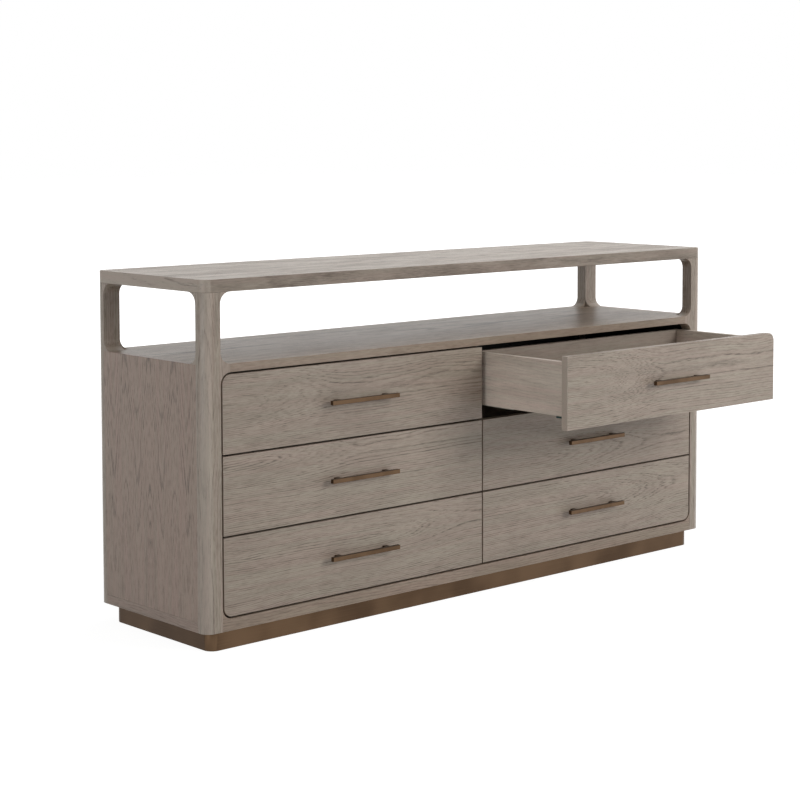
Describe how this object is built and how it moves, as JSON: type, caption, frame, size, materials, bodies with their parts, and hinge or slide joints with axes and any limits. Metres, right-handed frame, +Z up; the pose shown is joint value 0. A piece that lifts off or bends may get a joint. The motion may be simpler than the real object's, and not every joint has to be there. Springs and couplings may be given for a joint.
{
  "type": "dresser",
  "caption": "Long low dresser with inset drawers on slides in two columns under an open shelf with rounded windows, bar pulls and a set-back metal plinth.",
  "frame": {"origin": "on the floor under the middle of the case, on the sole of the plinth's brace", "axes": "+X to the dresser's right as seen from the front, along its length; +Z up; the drawers open towards -Y"},
  "size_m": [1.83, 0.79, 0.895],
  "materials": {
    "case_wood": "grey-brown oak veneer, matt lacquer",
    "front_wood": "grey-brown oak veneer, matt lacquer",
    "box_wood": "grey stained solid wood, matt",
    "black_board": "black paint, matt",
    "back_board": "grey-brown veneer, matt",
    "dowel_wood": "plain beech",
    "bronze_metal": "aged bronze, satin",
    "slide_steel": "zinc-plated steel"
  },
  "bodies": {
    "case": {"top_slab": "case_wood", "slab_dowels": "dowel_wood", "front_left_post": "case_wood", "front_right_post": "case_wood", "back_left_post": "case_wood", "back_right_post": "case_wood", "left_side_panel": "case_wood", "right_side_panel": "case_wood", "left_inner_side": "black_board", "right_inner_side": "black_board", "shelf_board": "case_wood", "bottom_board": "case_wood", "bottom_rail": "case_wood", "back_panel": "back_board", "centre_partition": "black_board", "plinth_base": "bronze_metal", "cabinet_runners": "slide_steel"},
    "upper_left_drawer": {"upper_left_front": "front_wood", "upper_left_sides": "box_wood", "upper_left_ends": "box_wood", "upper_left_bottom": "box_wood", "upper_left_pull": "bronze_metal", "upper_left_fittings": "slide_steel"},
    "upper_left_middle_slides": {"upper_left_middle_runners": "slide_steel"},
    "middle_left_drawer": {"middle_left_front": "front_wood", "middle_left_sides": "box_wood", "middle_left_ends": "box_wood", "middle_left_bottom": "box_wood", "middle_left_pull": "bronze_metal", "middle_left_fittings": "slide_steel"},
    "middle_left_middle_slides": {"middle_left_middle_runners": "slide_steel"},
    "lower_left_drawer": {"lower_left_front": "front_wood", "lower_left_sides": "box_wood", "lower_left_ends": "box_wood", "lower_left_bottom": "box_wood", "lower_left_pull": "bronze_metal", "lower_left_fittings": "slide_steel"},
    "lower_left_middle_slides": {"lower_left_middle_runners": "slide_steel"},
    "upper_right_drawer": {"upper_right_front": "front_wood", "upper_right_sides": "box_wood", "upper_right_ends": "box_wood", "upper_right_bottom": "box_wood", "upper_right_pull": "bronze_metal", "upper_right_fittings": "slide_steel"},
    "upper_right_middle_slides": {"upper_right_middle_runners": "slide_steel"},
    "middle_right_drawer": {"middle_right_front": "front_wood", "middle_right_sides": "box_wood", "middle_right_ends": "box_wood", "middle_right_bottom": "box_wood", "middle_right_pull": "bronze_metal", "middle_right_fittings": "slide_steel"},
    "middle_right_middle_slides": {"middle_right_middle_runners": "slide_steel"},
    "lower_right_drawer": {"lower_right_front": "front_wood", "lower_right_sides": "box_wood", "lower_right_ends": "box_wood", "lower_right_bottom": "box_wood", "lower_right_pull": "bronze_metal", "lower_right_fittings": "slide_steel"},
    "lower_right_middle_slides": {"lower_right_middle_runners": "slide_steel"}
  },
  "joints": [
    {"name": "upper_left_drawer_slide", "type": "slide", "parent": "case", "child": "upper_left_drawer", "axis": [0, -1, 0], "range_m": [0, 0.32]},
    {"name": "upper_left_middle_slide", "type": "slide", "parent": "case", "child": "upper_left_middle_slides", "axis": [0, -1, 0], "range_m": [0, 0.16]},
    {"name": "middle_left_drawer_slide", "type": "slide", "parent": "case", "child": "middle_left_drawer", "axis": [0, -1, 0], "range_m": [0, 0.32]},
    {"name": "middle_left_middle_slide", "type": "slide", "parent": "case", "child": "middle_left_middle_slides", "axis": [0, -1, 0], "range_m": [0, 0.16]},
    {"name": "lower_left_drawer_slide", "type": "slide", "parent": "case", "child": "lower_left_drawer", "axis": [0, -1, 0], "range_m": [0, 0.32]},
    {"name": "lower_left_middle_slide", "type": "slide", "parent": "case", "child": "lower_left_middle_slides", "axis": [0, -1, 0], "range_m": [0, 0.16]},
    {"name": "upper_right_drawer_slide", "type": "slide", "parent": "case", "child": "upper_right_drawer", "axis": [0, -1, 0], "range_m": [-0.306, 0.014]},
    {"name": "upper_right_middle_slide", "type": "slide", "parent": "case", "child": "upper_right_middle_slides", "axis": [0, -1, 0], "range_m": [-0.153, 0.007]},
    {"name": "middle_right_drawer_slide", "type": "slide", "parent": "case", "child": "middle_right_drawer", "axis": [0, -1, 0], "range_m": [0, 0.32]},
    {"name": "middle_right_middle_slide", "type": "slide", "parent": "case", "child": "middle_right_middle_slides", "axis": [0, -1, 0], "range_m": [0, 0.16]},
    {"name": "lower_right_drawer_slide", "type": "slide", "parent": "case", "child": "lower_right_drawer", "axis": [0, -1, 0], "range_m": [0, 0.32]},
    {"name": "lower_right_middle_slide", "type": "slide", "parent": "case", "child": "lower_right_middle_slides", "axis": [0, -1, 0], "range_m": [0, 0.16]}
  ],
  "couplings": [
    {"joint": "upper_left_middle_slide", "follows": "upper_left_drawer_slide", "ratio": 0.5},
    {"joint": "middle_left_middle_slide", "follows": "middle_left_drawer_slide", "ratio": 0.5},
    {"joint": "lower_left_middle_slide", "follows": "lower_left_drawer_slide", "ratio": 0.5},
    {"joint": "upper_right_middle_slide", "follows": "upper_right_drawer_slide", "ratio": 0.5},
    {"joint": "middle_right_middle_slide", "follows": "middle_right_drawer_slide", "ratio": 0.5},
    {"joint": "lower_right_middle_slide", "follows": "lower_right_drawer_slide", "ratio": 0.5}
  ]
}
